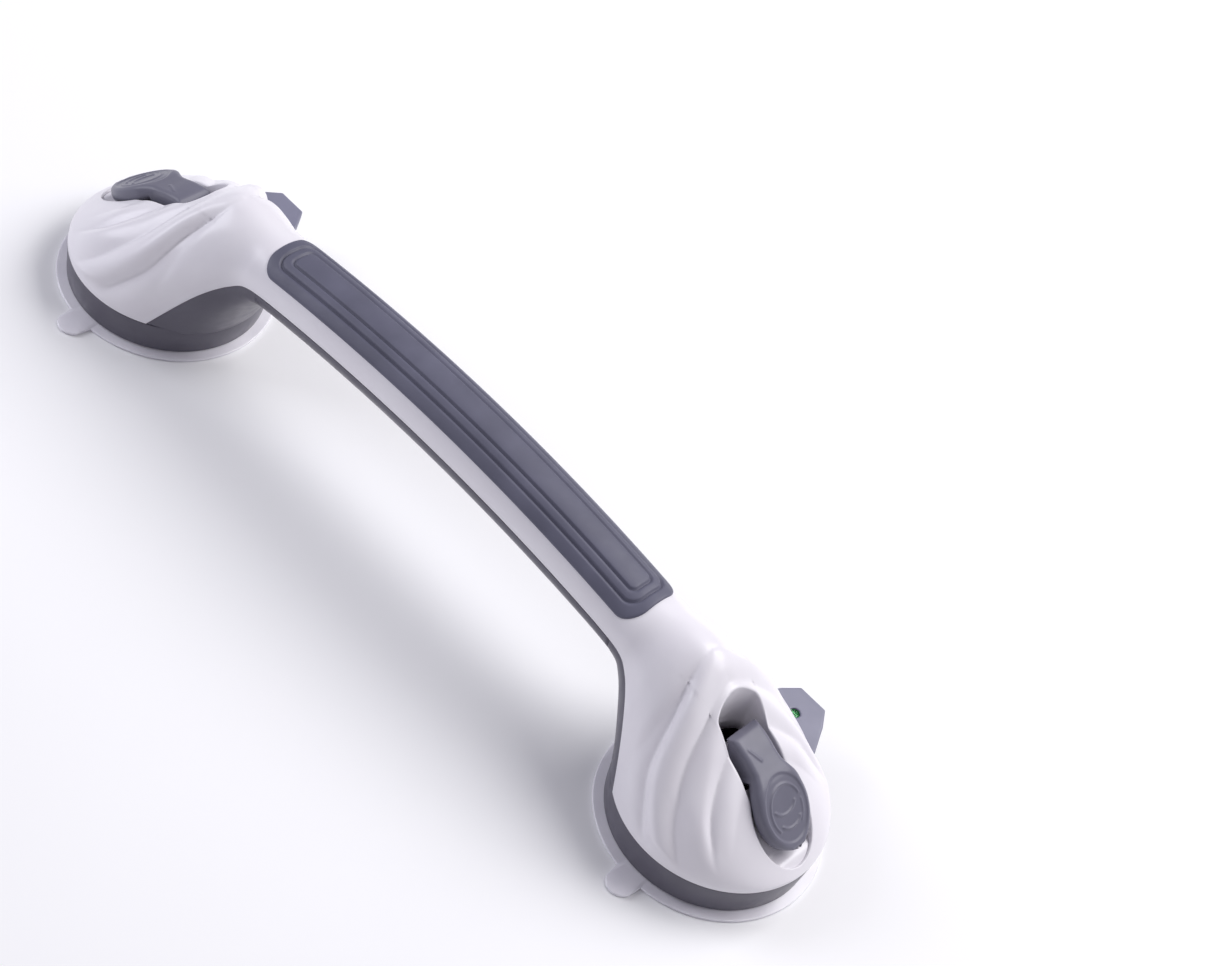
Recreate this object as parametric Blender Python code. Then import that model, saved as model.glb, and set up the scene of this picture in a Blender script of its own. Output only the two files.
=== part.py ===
"""Suction grab bar: two lever-locked suction heads joined by a curved, rubber-faced handle.

X runs along the handle, +Z points away from the wall, and the suction faces lie on z = 0.
Each head is the mirror image of the other in X. Lengths in this file are in millimetres, and
mesh_object turns them into metres. A head's own x, called out, is counted outward from the
centre of its suction cup, so it is negative towards the middle of the handle.
"""

import math

import bmesh
import bpy
from mathutils import Matrix, Vector

MM = 0.001

# Layout
HEAD_X = 163.5            # from the middle of the handle to a suction cup's centre
FIT_GAP = 0.35            # between touching pieces
SHELL = 2.4               # wall of the moulded shells

# Handle
TOP_AT_MIDDLE = 80.2      # height of the white cover's crest at the middle of the handle
BOW_RADIUS = 727.0        # the crest falls away towards the heads on this arc
HALF_WIDTH = 16.8         # of the handle, across Y
COVER_DEPTH = 15.3        # from the handle's crest down to the parting line
UNDER_DEPTH = 13.4        # from the parting line down to the underside

# Head
RING_TOP_R = 43.6
RING_FOOT_R = 42.1
RING_TOP_Z = 16.0
RING_FOOT_Z = 1.5
COVER_EDGE_Z = RING_TOP_Z + 0.3
CORNER_OUT = -25.6        # where the cover leaves the ring and climbs to the handle
NECK_OUT = -70.0          # inward of this the handle has a plain section
SKIRT = 1.2               # straight wall below the crown of a section

# Suction cup
CUP_R = 46.4
FLANGE = 1.2
PEEL_TAB_TIP = 56.4

# Lever and its cam
PIN_Z = 45.5
PIN_R = 2.0
CAM_R = 8.6
LEVER_SLOPE = math.radians(43.0)
PAD_OUT, PAD_Z = 25.2, 38.6
PAD_HALF_LENGTH, PAD_HALF_WIDTH = 15.8, 12.4
PAD_THICK = 7.5
NECK_HALF_WIDTH = 8.0
EYE_HALF = 3.2
EYE_R = 4.4
LIFT_DEG = 78.0           # how far the lever flips up
STUD_TRAVEL = 4.0         # how far the stud drops while it does

# Well in the cover round the lever
THROAT_HALF_WIDTH = 11.3
BOWL_OUT, BOWL_HALF_LENGTH = 24.9, 15.4
BOWL_LIP_Z = 19.8
WELL_WALL = 1.8
SKIRTING_Z = 37.6         # the throat's walls hang down to here

# Indicator tab
TAB_OUT = -6.2
TAB_TOP_Z = 23.3
TAB_THICK = 4.0
TAB_TIP_Y = 60.3
WINDOW_Y = 48.5
WINDOW_R = 2.2

# Rubber on the handle
GRIP_HALF_LENGTH, GRIP_HALF_WIDTH, GRIP_CORNER = 106.0, 14.1, 8.0
GRIP_PROUD, GRIP_DEEP = 0.7, 1.2
STRIP_HALF_LENGTH, STRIP_HALF_WIDTH = 92.0, 10.5

WHITE = ((0.80, 0.79, 0.82), 0.30, 0.0)
GREY = ((0.17, 0.165, 0.20), 0.38, 0.0)
RUBBER = ((0.15, 0.15, 0.18), 0.60, 0.0)
LILAC = ((0.27, 0.27, 0.36), 0.40, 0.0)
VINYL = ((0.85, 0.84, 0.88), 0.25, 0.0)
GREEN = ((0.02, 0.30, 0.06), 0.45, 0.0)
CLEAR = ((0.90, 0.95, 0.92), 0.08, 0.0)
STEEL = ((0.62, 0.62, 0.64), 0.28, 1.0)


# ---------------------------------------------------------------- helpers

def clear_scene():
    for obj in list(bpy.data.objects):
        bpy.data.objects.remove(obj, do_unlink=True)


def material(name, look):
    """A Principled material of one colour, roughness and metallic value."""
    colour, roughness, metallic = look
    mat = bpy.data.materials.new(name)
    mat.use_nodes = True
    shader = mat.node_tree.nodes["Principled BSDF"]
    shader.inputs["Base Color"].default_value = (*colour, 1.0)
    shader.inputs["Roughness"].default_value = roughness
    shader.inputs["Metallic"].default_value = metallic
    return mat


def mesh_object(name, verts, faces, look, pivot=(0.0, 0.0, 0.0)):
    """A closed mesh with its faces turned out, as an object whose origin is its pivot."""
    mesh = bpy.data.meshes.new(name)
    mesh.from_pydata([(Vector(v) - Vector(pivot)) * MM for v in verts], [], faces)
    bm = bmesh.new()
    bm.from_mesh(mesh)
    bmesh.ops.remove_doubles(bm, verts=bm.verts, dist=1e-6)
    bmesh.ops.triangulate(bm, faces=bm.faces)
    bmesh.ops.recalc_face_normals(bm, faces=bm.faces)
    bm.to_mesh(mesh)
    bm.free()
    mesh.shade_smooth()
    mesh.set_sharp_from_angle(angle=math.radians(32))
    obj = bpy.data.objects.new(name, mesh)
    obj.location = Vector(pivot) * MM
    bpy.context.collection.objects.link(obj)
    if look:
        mesh.materials.append(material(name, look))
    return obj


def cut(obj, tool, operation="DIFFERENCE"):
    """Applies one exact Boolean to the object, and removes the tool."""
    modifier = obj.modifiers.new(operation.lower(), "BOOLEAN")
    modifier.object = tool
    modifier.operation = operation
    modifier.solver = "EXACT"
    bpy.context.view_layer.update()
    graph = bpy.context.evaluated_depsgraph_get()
    result = bpy.data.meshes.new_from_object(obj.evaluated_get(graph))
    obj.modifiers.clear()
    old = obj.data
    result.name = old.name
    while len(result.materials) > 1:
        result.materials.pop()
    obj.data = result
    bpy.data.meshes.remove(old)
    bpy.data.objects.remove(tool, do_unlink=True)


def smooth_curve(points):
    """A function that passes smoothly through (x, value) points without overshooting them."""
    xs = [p[0] for p in points]
    vs = [p[1] for p in points]
    steps = [b - a for a, b in zip(xs, xs[1:])]
    rates = [(b - a) / s for a, b, s in zip(vs, vs[1:], steps)]
    slopes = [rates[0]]
    slopes += [0.0 if a * b <= 0 else 2 * a * b / (a + b) for a, b in zip(rates, rates[1:])]
    slopes += [rates[-1]]

    def at(x):
        x = min(max(x, xs[0]), xs[-1])
        i = max(k for k in range(len(steps)) if k == 0 or xs[k] <= x)
        t = (x - xs[i]) / steps[i]
        return (vs[i] * (1 + 2 * t) * (1 - t) ** 2 + steps[i] * slopes[i] * t * (1 - t) ** 2
                + vs[i + 1] * t * t * (3 - 2 * t) + steps[i] * slopes[i + 1] * t * t * (t - 1))

    return at


def spread(start, stop, count):
    return [start + (stop - start) * i / (count - 1) for i in range(count)]


def loft(name, sections, look, pivot=(0.0, 0.0, 0.0)):
    """A solid through closed sections that all have the same number of points."""
    count = len(sections[0])
    verts = [p for section in sections for p in section]
    faces = [tuple(range(count))[::-1]]
    for i in range(len(sections) - 1):
        for j in range(count):
            k = (j + 1) % count
            faces.append((i * count + j, i * count + k, (i + 1) * count + k, (i + 1) * count + j))
    faces.append(tuple(range((len(sections) - 1) * count, len(sections) * count)))
    return mesh_object(name, verts, faces, look, pivot)


def turned(name, profile, look, centre=(0.0, 0.0, 0.0), axis="Z", segments=32, start=0.0):
    """A closed (radius, height) profile turned about an axis through centre."""
    rings = []
    for radius, height in profile:
        ring = []
        for k in range(segments if radius > 0 else 1):
            angle = 2 * math.pi * (k + start) / segments
            a, b = radius * math.cos(angle), radius * math.sin(angle)
            local = (a, b, height) if axis == "Z" else (a, height, b)
            ring.append(tuple(c + d for c, d in zip(centre, local)))
        rings.append(ring)
    verts = [p for ring in rings for p in ring]
    starts = [sum(len(r) for r in rings[:i]) for i in range(len(rings))]
    faces = []
    for i in range(len(rings)):
        n = (i + 1) % len(rings)
        if len(rings[i]) == 1 and len(rings[n]) == 1:
            continue
        for k in range(segments):
            m = (k + 1) % segments
            corners = [starts[i] + k % len(rings[i]), starts[i] + m % len(rings[i]),
                       starts[n] + m % len(rings[n]), starts[n] + k % len(rings[n])]
            faces.append(tuple(dict.fromkeys(corners)))
    return mesh_object(name, verts, faces, look, centre)


def prism(name, outline, low, high, look=None, pivot=(0.0, 0.0, 0.0)):
    """An (x, y) outline extruded along Z. low and high are heights, or functions of x and y."""
    bottom = [(x, y, low(x, y) if callable(low) else low) for x, y in outline]
    top = [(x, y, high(x, y) if callable(high) else high) for x, y in outline]
    return loft(name, [bottom, top], look, pivot)


def block(name, low, high, look=None):
    outline = [(low[0], low[1]), (high[0], low[1]), (high[0], high[1]), (low[0], high[1])]
    return prism(name, outline, low[2], high[2], look)


def rounded_rectangle(half_x, half_y, radius, steps=5):
    points = []
    for quarter, (sx, sy) in enumerate(((1, 1), (-1, 1), (-1, -1), (1, -1))):
        for k in range(steps + 1):
            angle = math.pi / 2 * (quarter + k / steps)
            points.append((sx * (half_x - radius) + radius * math.cos(angle),
                           sy * (half_y - radius) + radius * math.sin(angle)))
    return points


# ---------------------------------------------------------------- outer form

def handle_top(x):
    return TOP_AT_MIDDLE - x * x / (2 * BOW_RADIUS)


HEAD_CREST = smooth_curve([
    (NECK_OUT, handle_top(HEAD_X + NECK_OUT)), (-60, 73.2), (-50, 73.4), (-40, 74.6), (-31, 75.4),
    (-23.5, 71.8), (-15, 65.8), (-7.3, 59.2), (0, 52.6), (9.2, 46.4), (15, 42.3), (25, 34.4),
    (35, 25.2), (40, 20.4), (RING_TOP_R, COVER_EDGE_Z + SKIRT)])
NECK_WIDTH = smooth_curve([
    (NECK_OUT, HALF_WIDTH), (-60, 16.9), (-53.2, 17.4), (-49.2, 18.6), (-44.7, 21.1),
    (-40.5, 24.0), (-36.1, 27.1), (-30.6, 31.2), (CORNER_OUT, 35.29)])
ARCH_EDGE = smooth_curve([
    (NECK_OUT, handle_top(HEAD_X + NECK_OUT) - COVER_DEPTH), (-60, 57.2), (-55, 55.6),
    (-49.2, 51), (-44.7, 46.5), (-40.5, 41.3), (-36.1, 34.7), (-30.6, 25.3),
    (CORNER_OUT, COVER_EDGE_Z)])
ARCH_FALL = smooth_curve([(0, 0), (0.2, 0.068), (0.31, 0.155), (0.45, 0.27), (0.57, 0.40),
                          (0.7, 0.565), (1, 1)])
ARCH_FLARE = smooth_curve([(0, 0), (0.2, 0.016), (0.31, 0.075), (0.45, 0.235), (0.57, 0.39),
                           (0.7, 0.545), (0.86, 0.74), (1, 1)])


def crest(out):
    return handle_top(HEAD_X + out) if out < NECK_OUT else HEAD_CREST(out)


def half_width(out, inset=0.0):
    if out < NECK_OUT:
        return HALF_WIDTH - inset
    if out < CORNER_OUT:
        return NECK_WIDTH(out) - inset
    return math.sqrt(max((RING_TOP_R - inset) ** 2 - out * out, 0.0))


def cover_edge(out):
    if out < NECK_OUT:
        return handle_top(HEAD_X + out) - COVER_DEPTH
    return ARCH_EDGE(out) if out < CORNER_OUT else COVER_EDGE_Z


def crown(out, across):
    """Height share of a cover section at across, from -1 to 1 of its half width."""
    blend = min(max((out + 60) / 30, 0.0), 1.0)
    power = 2 - 0.32 * blend * blend * (3 - 2 * blend)
    return math.sqrt(max(0.0, 1 - abs(across) ** power))


def cover_height(x, y):
    out = abs(x) - HEAD_X
    spring = cover_edge(out) + SKIRT
    return spring + (crest(out) - spring) * crown(out, min(abs(y) / half_width(out), 1.0))


def cover_section(x, inset=0.0, drop=0.0, points=15):
    """Closed section of the cover at x: its crown, its skirt, and a flat line across its foot."""
    out = abs(x) - HEAD_X
    wide = max(half_width(out, inset), 0.05)
    foot = cover_edge(out)
    spring = foot + SKIRT
    slope = abs(crest(out + 0.5) - crest(out - 0.5)) if out > -40 else 0.0
    top = max(crest(out) - inset * math.hypot(1, slope), spring + 0.05)
    section = [(x, -wide, foot - drop)]
    for k in range(points):
        across = -math.cos(math.pi * k / (points - 1))
        section.append((x, wide * across, spring + (top - spring) * crown(out, across)))
    section.append((x, wide, foot - drop))
    return section


def cover_stations(inset=0.0):
    """Places along X for the cover's sections, closer together round the heads."""
    radius = RING_TOP_R - inset
    turn = math.asin(-CORNER_OUT / radius)
    arc = [HEAD_X + radius * math.sin(t) for t in spread(-turn, math.pi / 2 - 0.05, 11)]
    neck = spread(HEAD_X + NECK_OUT, HEAD_X + CORNER_OUT, 10)[:-1]
    middle = spread(0, HEAD_X + NECK_OUT, 6)[:-1]
    half = middle + neck + arc
    return [-x for x in half[:0:-1]] + half


def cover_body(name, inset=0.0, drop=0.0, look=None, points=15):
    sections = [cover_section(x, inset, drop, points) for x in cover_stations(inset)]
    return loft(name, sections, look)


def pad_height(out, below=0.0):
    """Height of the thumb pad's plane above out, or of a plane that far under it."""
    return PAD_Z - (out - PAD_OUT) * math.tan(LEVER_SLOPE) - below / math.cos(LEVER_SLOPE)


def throat_outline(side, grow=0.0):
    """Opening round the lever's barrel, seen from above: straight sides and a round inner end."""
    half = THROAT_HALF_WIDTH + grow
    points = [(-4.0 - half * math.sin(a), half * math.cos(a)) for a in spread(0, math.pi, 11)]
    points += [(10.6 + grow, -half), (10.6 + grow, half)]
    return [(side * (HEAD_X + out), y) for out, y in points]


def bowl_outline(side, grow=0.0):
    """Oval recess round the thumb pad, seen from above, with a straight run into the throat."""
    reach, half = BOWL_HALF_LENGTH + grow, PAD_HALF_WIDTH + 1.5 + grow
    throat = THROAT_HALF_WIDTH + grow
    turn = math.acos(throat / half)
    points = [(BOWL_OUT + reach * math.sin(a), half * math.cos(a))
              for a in spread(-turn, math.pi + turn, 25)]
    points += [(6.0, -throat), (6.0, throat)]
    return [(side * (HEAD_X + out), y) for out, y in points]


def in_head(side, out, y=0.0, z=0.0):
    return (side * (HEAD_X + out), y, z)


# ---------------------------------------------------------------- shells

def bowl_body(side, grow, name="bowl"):
    """Recess under the thumb pad: its floor follows the pad, then runs level to the cover's nose."""
    below = PAD_THICK + 1.2 + grow
    lip_z = BOWL_LIP_Z - grow
    bend_out = PAD_OUT + (PAD_Z - below / math.cos(LEVER_SLOPE) - lip_z) / math.tan(LEVER_SLOPE)
    floor = [(5.0, pad_height(5.0, below)), (bend_out, lip_z), (48.0, lip_z), (48.0, 95.0), (5.0, 95.0)]
    sides = [[in_head(side, out, y, z) for out, z in floor] for y in (-20.0, 20.0)]
    bowl = loft(name, sides, None)
    cut(bowl, prism("oval", bowl_outline(side, grow), 5.0, 98.0), "INTERSECT")
    return bowl


def make_top_cover():
    """White upper moulding, in one piece from head to head."""
    cover = cover_body("top_cover", look=WHITE)
    cavity = cover_body("cover_cavity", inset=SHELL, drop=2.0, points=9)
    for side in (-1, 1):
        cut(cavity, prism("throat", throat_outline(side, WELL_WALL), SKIRTING_Z, 90.0))
        cut(cavity, bowl_body(side, WELL_WALL))
    cut(cover, cavity)
    for side in (-1, 1):
        cut(cover, prism("throat", throat_outline(side), 25.0, 95.0))
        cut(cover, bowl_body(side, 0.0))
        half = 18.2
        low = (side * (HEAD_X + TAB_OUT) - half, 25.0, TAB_TOP_Z - TAB_THICK - FIT_GAP)
        high = (side * (HEAD_X + TAB_OUT) + half, 60.0, TAB_TOP_Z + FIT_GAP)
        cut(cover, block("tab_window", low, high))
    cut(cover, grip_body("grip_seat", FIT_GAP, FIT_GAP, 3.0))
    return cover


def grip_section(x, grow, points=9):
    """Section across the handle's crest, grown or shrunk from the cover's own."""
    out = abs(x) - HEAD_X
    foot = cover_edge(out)
    section = []
    for k in range(points):
        across = -math.cos(math.pi * (0.08 + 0.84 * k / (points - 1)))
        wide = half_width(out) + grow
        rise = crest(out) + grow - foot - SKIRT
        section.append((x, wide * across, foot + SKIRT + rise * crown(out, across)))
    return section


def grip_body(name, side_gap, under_gap, proud, look=None):
    """Rubber pad: a band that follows the handle's crest, trimmed to a rounded rectangle."""
    xs = spread(-GRIP_HALF_LENGTH - 6, GRIP_HALF_LENGTH + 6, 17)
    sections = [grip_section(x, proud) + grip_section(x, -GRIP_DEEP - under_gap)[::-1] for x in xs]
    band = loft(name, sections, look)
    outline = rounded_rectangle(GRIP_HALF_LENGTH + side_gap, GRIP_HALF_WIDTH + side_gap,
                                GRIP_CORNER + side_gap)
    cut(band, prism("grip_trim", outline, 40.0, 100.0), "INTERSECT")
    return band


def under_section(x, inset=0.0, grow=0.0, points=13):
    """Lower half of the handle's section, from its left edge round to its right edge."""
    out = abs(x) - HEAD_X
    edge = cover_edge(out) - FIT_GAP
    wide, deep = half_width(out) - inset, UNDER_DEPTH - FIT_GAP - inset + grow
    return [(x, -wide * math.cos(a), edge - deep * math.sin(a)) for a in spread(0, math.pi, points)]


ARCH_START = -62.0


def column_section(side, share, inset=0.0, points=13):
    """Wall of the head that hangs from the handle and turns down onto the ring."""
    start = under_section(HEAD_X + ARCH_START, inset, 0.0, points)
    turn = math.acos(CORNER_OUT / RING_TOP_R) + 0.012
    section = []
    for k, (x, y, z) in enumerate(start):
        angle = -turn - 2 * (math.pi - turn) * k / (points - 1)
        radius = RING_TOP_R - 0.35 - inset
        end_x = HEAD_X + radius * math.cos(angle)
        end_y = radius * math.sin(angle)
        section.append((side * (x + (end_x - x) * share),
                        y + (end_y - y) * ARCH_FLARE(share),
                        z + (RING_TOP_Z - 3.0 - z) * ARCH_FALL(share)))
    return section


def under_body(name, inset, look=None):
    """The handle's lower half with a column at each end, as one solid to its inner or outer face."""
    columns = [[column_section(side, s, inset) for s in spread(0, 1, 9)] for side in (-1, 1)]
    middle = [under_section(x, inset) for x in spread(-HEAD_X - ARCH_START, HEAD_X + ARCH_START, 13)]
    if inset:
        lift = 3.0
        for column in columns:
            column.append([(x, y, z - 5.0) for x, y, z in column[-1]])
        sections = columns[0][::-1] + middle[1:-1] + columns[1]
        sections = [[(s[0][0], s[0][1], s[0][2] + lift)] + s + [(s[-1][0], s[-1][1], s[-1][2] + lift)]
                    for s in sections]
        return loft(name, sections, look)
    return loft(name, columns[0][::-1] + middle[1:-1] + columns[1], look)


def ring_body(side, name):
    """Skirt ring with a deck across it that carries the cup's pull mechanism."""
    profile = [(RING_FOOT_R, RING_FOOT_Z), (RING_TOP_R, RING_TOP_Z), (40.9, RING_TOP_Z),
               (40.9, 13.2), (9.4, 13.2), (9.4, 11.0), (39.4, 11.0), (39.4, RING_FOOT_Z)]
    return turned(name, profile, None, in_head(side, 0), segments=40)


def make_lower_shell():
    """Grey lower moulding: handle underside, two columns and two skirt rings."""
    shell = under_body("lower_shell", 0.0, GREY)
    cut(shell, under_body("under_cavity", SHELL))
    cut(shell, cover_body("cover_room", drop=FIT_GAP))
    for side in (-1, 1):
        cut(shell, ring_body(side, "ring"), "UNION")
    return shell


# ---------------------------------------------------------------- rubber

def make_grip_pad():
    return grip_body("grip_pad", 0.0, 0.0, GRIP_PROUD, RUBBER)


def strip_section(x, grow):
    points = under_section(x, 0.0, grow)
    return [p for p in points if abs(p[1]) < STRIP_HALF_WIDTH + 2.5]


def strip_body(name, side_gap, under_gap, look=None):
    """Finger strip let into the handle's underside."""
    xs = spread(-STRIP_HALF_LENGTH - 4, STRIP_HALF_LENGTH + 4, 13)
    outer = 1.0 if look is None else -0.4
    sections = [strip_section(x, outer) + strip_section(x, -1.4 - under_gap)[::-1] for x in xs]
    band = loft(name, sections, look)
    outline = rounded_rectangle(STRIP_HALF_LENGTH + side_gap, STRIP_HALF_WIDTH + side_gap, 5 + side_gap)
    cut(band, prism("strip_trim", outline, 30.0, 100.0), "INTERSECT")
    return band


# ---------------------------------------------------------------- suction cup and pull

STUD_HEAD_R, STUD_HEAD_Z = 6.4, (6.6, 8.8)
STUD_R = 2.7
GUIDE_TOP = 35.0
WASHER_Z = (35.35, 36.4)
SPRING_Z = (9.2, 26.5)


def make_cup(side, name):
    """Soft cup: flat sealing rim, hollowed middle, a boss that grips the pull stud, and a peel tab."""
    profile = [(CUP_R, 0.0), (CUP_R, FLANGE), (38.6, FLANGE), (35.0, 4.0), (27.0, 6.2),
               (13.0, 7.4), (9.0, 8.6), (9.0, 10.2), (6.8, 10.2), (6.8, 6.2), (0.0, 6.2),
               (0.0, 3.2), (14.0, 3.0), (29.0, 1.6), (38.0, 0.0)]
    cup = turned(name, profile, VINYL, in_head(side, 0), segments=40)
    tip_r = 6.3
    root = 9.0
    outline = [(side * HEAD_X + tip_r * math.cos(a), -PEEL_TAB_TIP + tip_r + tip_r * math.sin(a))
               for a in spread(-math.pi, 0, 13)]
    outline += [(side * HEAD_X + root, -43.5), (side * HEAD_X - root, -43.5)]
    cut(cup, prism("peel_tab", outline, 0.0, FLANGE - 0.1), "UNION")
    return cup


def make_pull_stud(side, name):
    """Stud whose head sits in the cup's boss and whose eye carries the lever's pin."""
    profile = [(STUD_HEAD_R, STUD_HEAD_Z[0]), (STUD_HEAD_R, STUD_HEAD_Z[1]), (STUD_R, STUD_HEAD_Z[1]),
               (STUD_R, PIN_Z - 2), (0.0, PIN_Z - 2), (0.0, STUD_HEAD_Z[0])]
    stud = turned(name, profile, STEEL, in_head(side, 0), segments=16)
    thick = EYE_HALF - 0.3
    eye = [(EYE_R, -thick), (EYE_R, thick), (0.0, thick), (0.0, -thick)]
    cut(stud, turned("eye", eye, None, in_head(side, 0, 0, PIN_Z), "Y", 20), "UNION")
    hole = [(PIN_R + FIT_GAP, -9), (PIN_R + FIT_GAP, 9), (0, 9), (0, -9)]
    cut(stud, turned("eye_hole", hole, None, in_head(side, 0, 0, PIN_Z), "Y", 20))
    return stud


def make_cam_pin(side, name):
    profile = [(PIN_R, -7.8), (PIN_R, 7.8), (0, 7.8), (0, -7.8)]
    return turned(name, profile, STEEL, in_head(side, 0, 0, PIN_Z), "Y", 20)


def make_return_spring(side, name):
    """Compression spring round the stud that pushes the cup down again."""
    wire, coil, turns, around = 0.55, 5.1, 4.0, 5
    low, high = SPRING_Z[0] + wire, SPRING_Z[1] - wire
    steps = int(turns * 12)
    sections = []
    for i in range(steps + 1):
        share = i / steps
        angle = 2 * math.pi * turns * share
        out_dir = Vector((math.cos(angle), math.sin(angle), 0))
        centre = Vector(in_head(side, 0, 0, low + (high - low) * share)) + out_dir * coil
        sections.append([tuple(centre + wire * (out_dir * math.cos(b) + Vector((0, 0, math.sin(b)))))
                         for b in spread(0, 2 * math.pi, around + 1)[:-1]])
    return loft(name, sections, STEEL, in_head(side, 0, 0, SPRING_Z[1]))


def make_stud_guide(side, name):
    """Flanged bush on the deck: the spring's chamber below, the stud's guide above."""
    bore = STUD_R + 0.6
    profile = [(21.0, 13.55), (21.0, 16.0), (11.0, 17.6), (9.2, 30.0), (10.8, 32.0), (10.8, GUIDE_TOP),
               (bore, GUIDE_TOP), (bore, 26.9), (6.8, 26.9), (6.8, 13.55)]
    guide = turned(name, profile, GREY, in_head(side, 0), segments=24)
    for place in guide_screw_places(side):
        hole = [(1.75, 10.0), (1.75, 20.0), (0, 20.0), (0, 10.0)]
        cut(guide, turned("screw_hole", hole, None, place, segments=10))
    return guide


def guide_screw_places(side):
    return [in_head(side, 16.2 * math.cos(a), 16.2 * math.sin(a))
            for a in (math.radians(d) for d in (60, 180, 300))]


def make_cam_washer(side, name):
    profile = [(10.4, WASHER_Z[0]), (10.4, WASHER_Z[1]), (STUD_R + 0.7, WASHER_Z[1]),
               (STUD_R + 0.7, WASHER_Z[0])]
    return turned(name, profile, STEEL, in_head(side, 0), segments=28)


# ---------------------------------------------------------------- lever

def thumb_pad(side):
    """Oval slab in the lever's sloping plane, a little smaller at its underside."""
    c, s = math.cos(LEVER_SLOPE), math.sin(LEVER_SLOPE)
    sections = []
    for lift, size, shift in ((-PAD_THICK, 0.88, 1.2), (-1.2, 1.0, 0.0), (0.0, 0.955, 0.0)):
        ring = []
        for angle in spread(0, 2 * math.pi, 33)[:-1]:
            along = shift + size * PAD_HALF_LENGTH * math.cos(angle)
            across = size * PAD_HALF_WIDTH * math.sin(angle)
            ring.append(in_head(side, PAD_OUT + along * c + lift * s, across,
                                PAD_Z - along * s + lift * c))
        sections.append(ring)
    return loft("thumb_pad", sections, None)


def cam_profile():
    """Lower edge of the barrel, from its rear face round under the pin to the neck.

    At each lift the lowest point lies as far under the pin as the pin stands above the washer.
    """
    rate = STUD_TRAVEL / math.radians(LIFT_DEG)
    points = []
    for lift in spread(math.radians(LIFT_DEG), 0.0, 9):
        reach = CAM_R - rate * lift
        points.append((rate * math.cos(lift) - reach * math.sin(lift),
                       PIN_Z - reach * math.cos(lift) - rate * math.sin(lift)))
    points += [(CAM_R * math.sin(a), PIN_Z - CAM_R * math.cos(a)) for a in (0.62, 0.95, 1.28)]
    return points


def make_lever(side, name):
    """Flip-up lever: a cam barrel forked round the stud's eye, a neck, and an oval thumb pad."""
    pivot = in_head(side, 0, 0, PIN_Z)
    side_view = cam_profile() + [(9.3, pad_height(9.3, PAD_THICK)), (16.0, pad_height(16.0, PAD_THICK)),
                                 (20.0, 42.6), (13.0, 48.0), (9.7, 48.7), (4.4, 51.8), (0.0, 53.8),
                                 (-2.6, 54.6), (-4.0, 54.3), (-4.6, 53.2), (-4.6, 45.5)]
    sections = [[in_head(side, out, y, z) for out, z in side_view]
                for y in (-NECK_HALF_WIDTH, NECK_HALF_WIDTH)]
    lever = loft(name, sections, GREY, pivot)
    cut(lever, thumb_pad(side), "UNION")
    ends = sorted((side * (HEAD_X - 12.0), side * (HEAD_X + EYE_R + 0.4)))
    cut(lever, block("fork", (ends[0], -EYE_HALF, 30.0), (ends[1], EYE_HALF, PIN_Z + EYE_R + 0.4)))
    hole = [(PIN_R + FIT_GAP, -9), (PIN_R + FIT_GAP, 9), (0, 9), (0, -9)]
    cut(lever, turned("pin_hole", hole, None, pivot, "Y", 20))
    return lever


# ---------------------------------------------------------------- indicator

def make_indicator_tab(side, name):
    """Flat tab that shows the seal's state through a round window; its root sits on the deck."""
    centre = side * (HEAD_X + TAB_OUT)
    low = TAB_TOP_Z - TAB_THICK
    outline = [(-14.0, 26.0), (14.0, 26.0), (14.0, 33.5), (17.6, 36.5), (17.6, 39.0),
               (8.2, TAB_TIP_Y - 1.2), (6.4, TAB_TIP_Y), (-6.4, TAB_TIP_Y), (-8.2, TAB_TIP_Y - 1.2),
               (-17.6, 39.0), (-17.6, 36.5), (-14.0, 33.5)]
    tab = prism(name, [(centre + x, y) for x, y in outline], low, TAB_TOP_Z, LILAC)
    cut(tab, block("root", (centre - 11.5, 26.5, 13.55), (centre + 11.5, 34.0, low + 1)), "UNION")
    cut(tab, block("channel", (centre - 4.8, 20.0, low + 1.2), (centre + 4.8, 57.6, low + 2.9)))
    window = [(WINDOW_R, low + 2), (WINDOW_R, 40), (0, 40), (0, low + 2)]
    cut(tab, turned("window", window, None, (centre, WINDOW_Y, 0), segments=24))
    screw = [(1.75, 5), (1.75, 40), (0, 40), (0, 5)]
    for offset in (-8.2, 8.2):
        cut(tab, turned("tab_screw_hole", screw, None, (centre + offset, 30.2, 0), segments=12))
    return tab


def make_indicator_slider(side, name):
    centre = side * (HEAD_X + TAB_OUT)
    low = TAB_TOP_Z - TAB_THICK
    return block(name, (centre - 4.4, 23.0, low + 1.55), (centre + 4.4, 51.6, low + 2.5), GREEN)


def make_indicator_lens(side, name):
    profile = [(WINDOW_R - 0.3, TAB_TOP_Z - 1.0), (WINDOW_R - 0.3, TAB_TOP_Z - 0.2),
               (0, TAB_TOP_Z - 0.2), (0, TAB_TOP_Z - 1.0)]
    centre = side * (HEAD_X + TAB_OUT)
    return turned(name, profile, CLEAR, (centre, WINDOW_Y, 0), segments=20)


# ---------------------------------------------------------------- screws

def make_screw(name, place, up, shank_r, length, head_r, head_high):
    """Pan-head screw standing at place, its shank pointing up or down."""
    profile = [(head_r, -head_high * up), (head_r, 0), (shank_r, 0), (shank_r, length * up),
               (0, length * up), (0, -head_high * up)]
    return turned(name, profile, STEEL, place, segments=10)


def head_screw_places(side):
    return [in_head(side, 30 * math.cos(a), 30 * math.sin(a), 10.65)
            for a in (math.radians(d) for d in (65, 180, 295))]


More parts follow.
